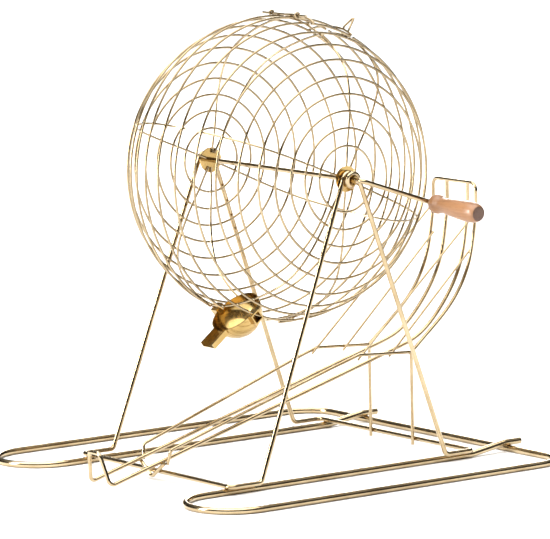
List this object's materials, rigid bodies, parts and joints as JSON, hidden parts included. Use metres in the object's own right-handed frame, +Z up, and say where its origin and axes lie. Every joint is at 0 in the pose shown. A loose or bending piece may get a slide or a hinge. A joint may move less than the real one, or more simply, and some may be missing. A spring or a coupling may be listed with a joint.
{
  "type": "bingo cage",
  "caption": "Hand-cranked wire ball cage on a bent-wire stand, with a loading door, a ball cup and a railed chute that carries drawn balls to a stop.",
  "frame": {"origin": "on the floor under the middle of the cage axle", "axes": "+X along the axle to the crank side, +Y to the rear where the chute climbs, +Z up"},
  "size_m": [0.318, 0.3398, 0.3333],
  "materials": {
    "frame_wire": "polished",
    "cage_wire": "polished",
    "crank_rod": "polished",
    "sheet_brass": "polished",
    "handle_wood": "smooth, clear lacquer"
  },
  "bodies": {
    "stand": {"base_frame": "frame_wire", "leg_wire_near": "frame_wire", "leg_wire_far": "frame_wire", "ball_rail_wire": "frame_wire", "side_rail_wire": "frame_wire", "guard_wire_near": "frame_wire", "guard_wire_far": "frame_wire", "chute_brace_near_1": "frame_wire", "chute_brace_near_2": "frame_wire", "chute_brace_far_1": "frame_wire", "chute_brace_far_2": "frame_wire", "rail_cradle": "frame_wire"},
    "cage": {"hub_near": "sheet_brass", "hub_far": "sheet_brass", "axle_crank": "crank_rod", "ring_near_01": "cage_wire", "ring_near_02": "cage_wire", "ring_near_03": "cage_wire", "ring_near_04": "cage_wire", "ring_near_05": "cage_wire", "ring_near_06": "cage_wire", "ring_near_07": "cage_wire", "ring_near_08": "cage_wire", "ring_near_09": "cage_wire", "ring_far_01": "cage_wire", "ring_far_02": "cage_wire", "ring_far_03": "cage_wire", "ring_far_04": "cage_wire", "ring_far_05": "cage_wire", "ring_far_06": "cage_wire", "ring_far_07": "cage_wire", "ring_far_08": "cage_wire", "ring_far_09": "cage_wire", "ring_near_10_front": "cage_wire", "ring_near_10_rear": "cage_wire", "ring_far_10_front": "cage_wire", "ring_far_10_rear": "cage_wire", "rib_front": "cage_wire", "rib_rear": "cage_wire", "rib_door_front": "cage_wire", "rib_door_rear": "cage_wire", "rib_cup_front": "cage_wire", "rib_cup_rear": "cage_wire", "rib_coil": "cage_wire", "door_hinge_pin": "cage_wire", "ball_cup": "sheet_brass"},
    "door": {"door_wire_near_09": "cage_wire", "door_wire_near_10": "cage_wire", "door_wire_far_09": "cage_wire", "door_wire_far_10": "cage_wire", "door_bar_front": "cage_wire", "door_bar_latch": "cage_wire", "door_hinge_loop_near": "cage_wire", "door_hinge_loop_far": "cage_wire", "door_finger_loop": "cage_wire"},
    "handle": {"handle": "handle_wood"}
  },
  "joints": [
    {"name": "cage_spin", "type": "hinge", "parent": "stand", "child": "cage", "pos_m": [0, 0, 0.217], "axis": [1, 0, 0], "continuous": true},
    {"name": "door_swing", "type": "hinge", "parent": "cage", "child": "door", "pos_m": [0, 0.00955, 0.33068], "axis": [1, 0, 0], "range_deg": [0, 90]},
    {"name": "handle_spin", "type": "hinge", "parent": "cage", "child": "handle", "pos_m": [0.13165, 0.06248, 0.19407], "axis": [0.9982, 0, -0.0593], "continuous": true}
  ]
}
